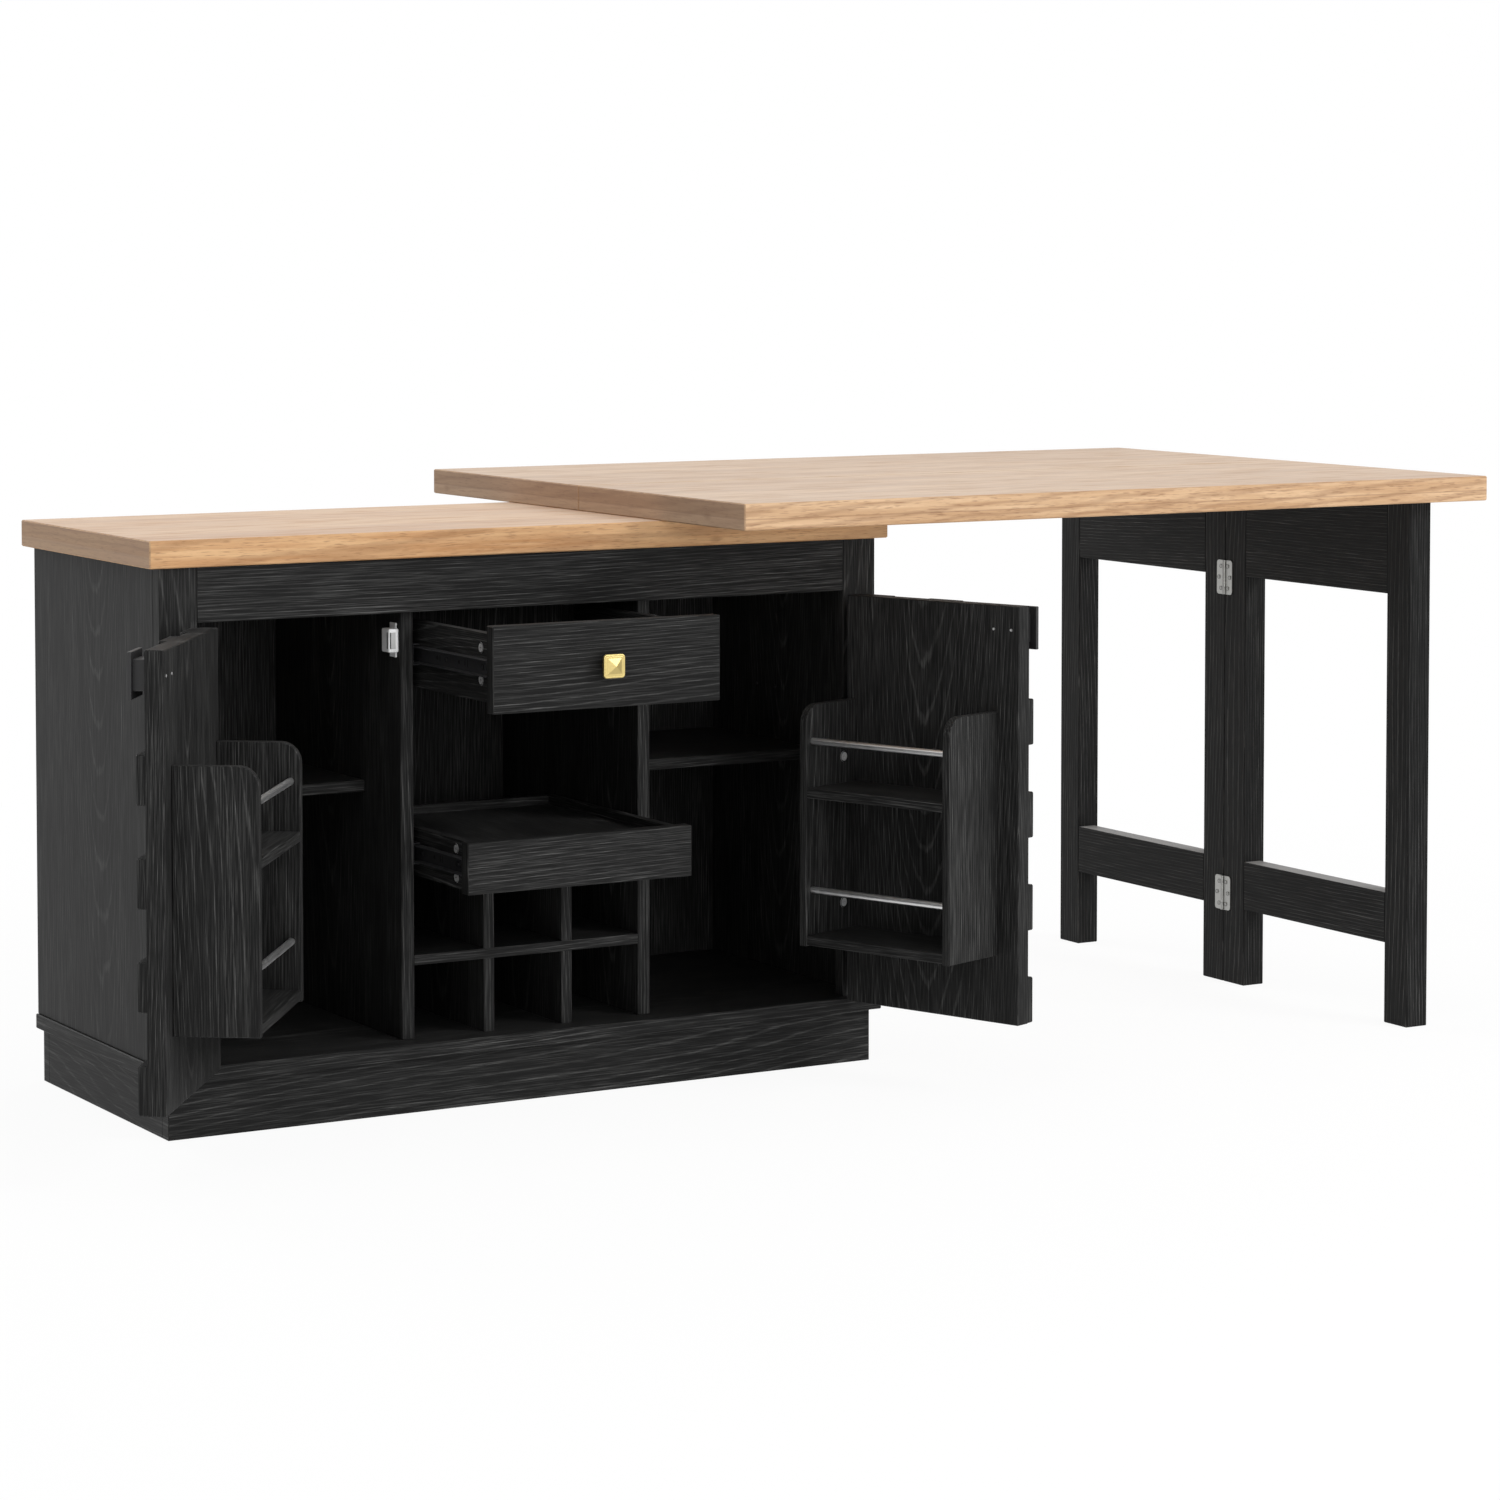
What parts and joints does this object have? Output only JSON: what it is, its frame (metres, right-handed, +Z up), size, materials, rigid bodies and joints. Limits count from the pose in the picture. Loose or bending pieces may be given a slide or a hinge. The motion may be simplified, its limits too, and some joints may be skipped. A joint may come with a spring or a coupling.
{
  "type": "kitchen island unit",
  "caption": "Black kitchen island with open rack doors, drawer, pull-out tray, wine rack and a folding oak table that slides over its top.",
  "frame": {"origin": "centre of the underside of the plinth's front board, on the floor", "axes": "+X along the cupboard's width towards the table's legs, +Y from the doors to the back, +Z up"},
  "size_m": [2.0481, 0.9817, 0.778],
  "materials": {
    "black_ash": "satin",
    "oak": "satin",
    "brass": "satin",
    "black_steel": "satin",
    "nickel_hinge": "satin",
    "chrome_rod": "polished",
    "white_plastic": "matte"
  },
  "bodies": {
    "cabinet": {"plinth": "black_ash", "floor_slab": "black_ash", "side_panel_left": "black_ash", "side_panel_right": "black_ash", "stile_left": "black_ash", "stile_right": "black_ash", "top_rail": "black_ash", "back_panel": "black_ash", "partition_left": "black_ash", "partition_right": "black_ash", "shelf_left": "black_ash", "shelf_right": "black_ash", "lower_top": "oak", "catch_left": "white_plastic", "catch_right": "white_plastic", "wine_shelf": "black_ash", "wine_upright_left": "black_ash", "wine_upright_right": "black_ash", "drawer_runner_left": "black_steel", "drawer_runner_right": "black_steel", "tray_runner_left": "black_steel", "tray_runner_right": "black_steel", "left_hinge_stile_leaf": "black_steel", "right_hinge_stile_leaf": "black_steel"},
    "left_door": {"left_door": "black_ash", "left_door_pull": "black_steel", "left_hinge_door_leaf": "black_steel", "left_rack": "black_ash", "left_rack_rod_lower": "chrome_rod", "left_rack_rod_upper": "chrome_rod"},
    "right_door": {"right_door": "black_ash", "right_door_pull": "black_steel", "right_hinge_door_leaf": "black_steel", "right_rack": "black_ash", "right_rack_rod_lower": "chrome_rod", "right_rack_rod_upper": "chrome_rod"},
    "drawer": {"drawer_front": "black_ash", "drawer_box": "black_ash", "drawer_bottom": "black_ash", "drawer_knob": "brass", "drawer_slide_left": "black_steel", "drawer_slide_right": "black_steel"},
    "tray": {"tray_front": "black_ash", "tray_box": "black_ash", "tray_slide_left": "black_steel", "tray_slide_right": "black_steel"},
    "table": {"table_leaf_back": "oak", "back_frame_outer_leg": "black_ash", "back_frame_inner_leg": "black_ash", "back_frame_apron": "black_ash", "back_frame_stretcher": "black_ash", "back_butt_leaf_lower": "nickel_hinge", "back_butt_leaf_upper": "nickel_hinge"},
    "front_leaf": {"table_leaf_front": "oak"},
    "front_frame": {"front_frame_outer_leg": "black_ash", "front_frame_inner_leg": "black_ash", "front_frame_apron": "black_ash", "front_frame_stretcher": "black_ash", "front_butt_leaf_lower": "nickel_hinge", "front_butt_leaf_upper": "nickel_hinge"}
  },
  "joints": [
    {"name": "left_door_hinge", "type": "hinge", "parent": "cabinet", "child": "left_door", "pos_m": [-0.4785, -0.023, 0.365], "axis": [0, 0, 1], "range_deg": [0, 125.75]},
    {"name": "right_door_hinge", "type": "hinge", "parent": "cabinet", "child": "right_door", "pos_m": [0.4785, -0.023, 0.365], "axis": [0, 0, 1], "range_deg": [-110, 16]},
    {"name": "drawer_slide", "type": "slide", "parent": "cabinet", "child": "drawer", "axis": [0, -1, 0], "range_m": [-0.202, 0.05]},
    {"name": "tray_slide", "type": "slide", "parent": "cabinet", "child": "tray", "axis": [0, -1, 0], "range_m": [-0.1295, 0.12]},
    {"name": "table_slide", "type": "slide", "parent": "cabinet", "child": "table", "axis": [1, 0, 0], "range_m": [-0.66, 0]},
    {"name": "front_leaf_fold", "type": "hinge", "parent": "table", "child": "front_leaf", "pos_m": [0.787, 0.2145, 0.778], "axis": [-1, 0, 0], "range_deg": [0, 180]},
    {"name": "front_frame_fold", "type": "hinge", "parent": "table", "child": "front_frame", "pos_m": [1.2795, 0.2325, 0.37], "axis": [0, 0, 1], "range_deg": [-180, 0]}
  ]
}
